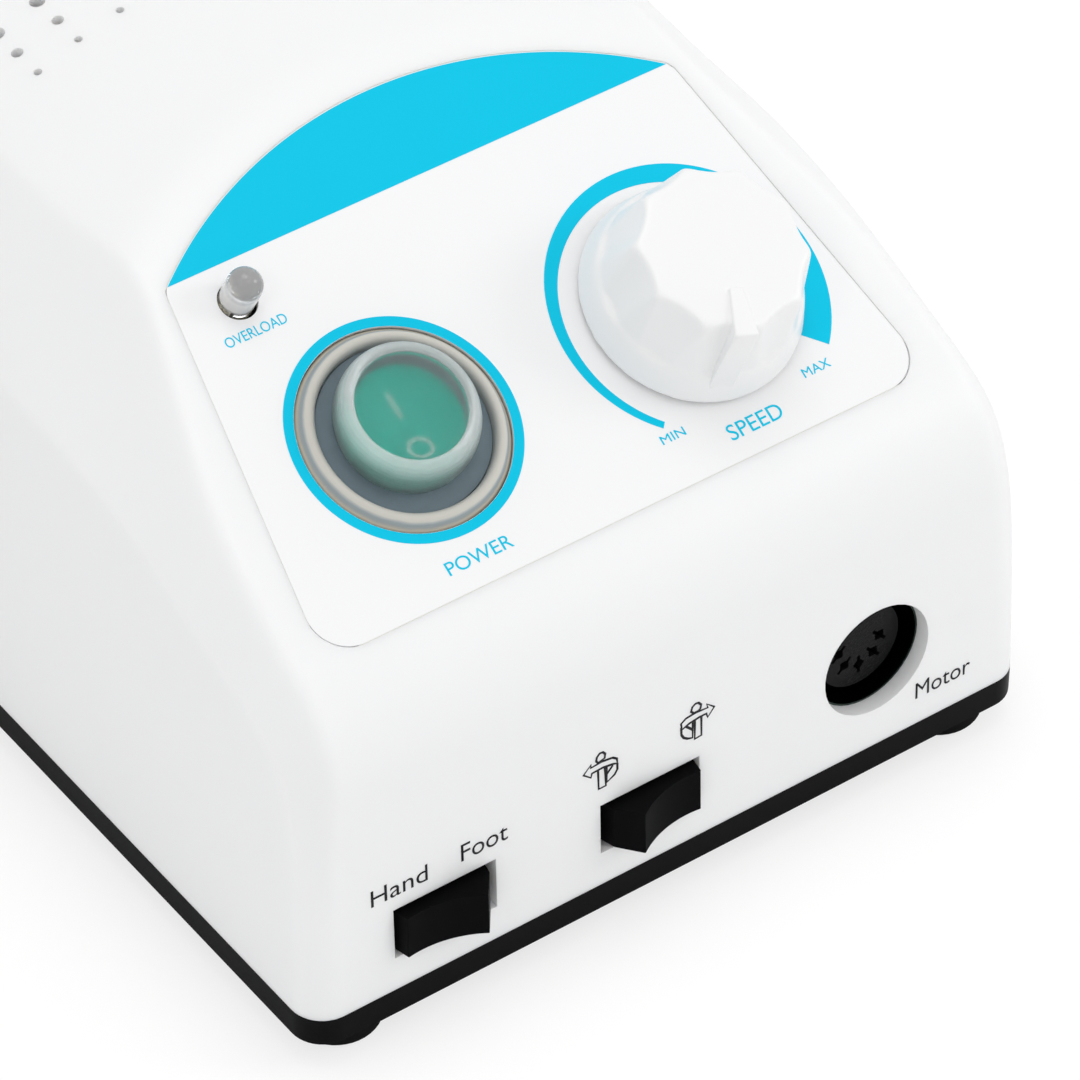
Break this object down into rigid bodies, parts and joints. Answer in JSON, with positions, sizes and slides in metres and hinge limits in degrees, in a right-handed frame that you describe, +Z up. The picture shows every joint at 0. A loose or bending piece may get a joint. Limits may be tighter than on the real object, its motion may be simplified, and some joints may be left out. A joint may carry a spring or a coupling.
{
  "type": "nail drill machine",
  "caption": "Desk control box for a nail drill: white sloped housing on a black base with speed knob, power and direction rockers, lamp and motor socket.",
  "frame": {"origin": "centre of the footprint on the table, under the feet", "axes": "+Z up, -Y towards the user (the front with the switches), +X to the right seen from the front"},
  "size_m": [0.12, 0.2035, 0.0945],
  "materials": {
    "aluminium": "satin",
    "black_plastic": "satin",
    "black_rubber": "matte",
    "can_sleeve": "satin",
    "circuit_board": "satin",
    "clear_glass": "gloss",
    "clear_plastic": "gloss",
    "green_plastic": "satin",
    "nickel": "satin",
    "printed_label": "satin",
    "steel": "satin",
    "tinned_metal": "satin",
    "white_nylon": "matte",
    "white_plastic": "satin",
    "winding_tape": "satin",
    "wire_sleeve": "satin"
  },
  "bodies": {
    "case": {"base_plate": "black_plastic", "board_connectors": "white_nylon", "board_screws": "steel", "bridge_rectifier": "black_plastic", "control_board": "circuit_board", "control_label": "printed_label", "cover_screws": "steel", "direction_switch_body": "black_plastic", "filter_capacitors": "can_sleeve", "fuse_holder_body": "black_plastic", "fuse_holder_nut": "black_plastic", "fuse_holder_tags": "tinned_metal", "hand_foot_switch_body": "black_plastic", "heat_sink": "aluminium", "mains_inlet_body": "black_plastic", "mains_inlet_nuts": "steel", "mains_inlet_pins": "tinned_metal", "mains_inlet_screws": "steel", "mains_leads": "wire_sleeve", "motor_leads": "wire_sleeve", "motor_socket_contacts": "tinned_metal", "motor_socket_insert": "black_plastic", "motor_socket_screws": "steel", "motor_socket_shell": "nickel", "overload_light": "clear_plastic", "overload_light_clip": "black_plastic", "overload_light_leads": "nickel", "panel_leads": "wire_sleeve", "pedal_jack_body": "black_plastic", "pedal_jack_nut": "nickel", "potentiometer_body": "nickel", "potentiometer_nut": "nickel", "potentiometer_washer": "nickel", "power_switch_body": "black_plastic", "power_switch_boot": "clear_plastic", "power_switch_nut": "black_plastic", "power_switch_terminals": "tinned_metal", "power_transistors": "black_plastic", "relay": "black_plastic", "rubber_feet": "black_rubber", "switch_board": "circuit_board", "switch_board_screws": "steel", "switch_leads": "wire_sleeve", "switch_pins": "nickel", "top_cover": "white_plastic", "transformer_bobbin": "white_nylon", "transformer_core": "steel", "transformer_frame": "steel", "transformer_leads": "wire_sleeve", "transformer_screws": "steel", "transformer_winding": "winding_tape"},
    "power_rocker": {"power_switch_rocker": "green_plastic"},
    "speed_control": {"speed_knob": "white_plastic", "potentiometer_shaft": "nickel"},
    "hand_foot_rocker": {"hand_foot_rocker": "black_plastic"},
    "direction_rocker": {"direction_rocker": "black_plastic"},
    "fuse_cap": {"fuse_cap": "black_plastic", "glass_fuse": "clear_glass"}
  },
  "joints": [
    {"name": "power_rock", "type": "hinge", "parent": "case", "child": "power_rocker", "pos_m": [-0.0221, -0.06463, 0.07034], "axis": [1, 0, 0], "range_deg": [0, 16]},
    {"name": "speed_turn", "type": "hinge", "parent": "case", "child": "speed_control", "pos_m": [0.024, -0.06563, 0.07162], "axis": [0, 0.4633, -0.8862], "range_deg": [0, 300]},
    {"name": "hand_foot_rock", "type": "hinge", "parent": "case", "child": "hand_foot_rocker", "pos_m": [-0.03835, -0.09339, 0.01877], "axis": [0, 0.0419, 0.9991], "range_deg": [0, 26]},
    {"name": "direction_rock", "type": "hinge", "parent": "case", "child": "direction_rocker", "pos_m": [-0.0048, -0.09339, 0.01877], "axis": [0, -0.0419, -0.9991], "range_deg": [0, 26]},
    {"name": "fuse_cap_turn", "type": "hinge", "parent": "case", "child": "fuse_cap", "pos_m": [0.006, 0.0922, 0.033], "axis": [0, -1, 0], "range_deg": [0, 60]}
  ]
}
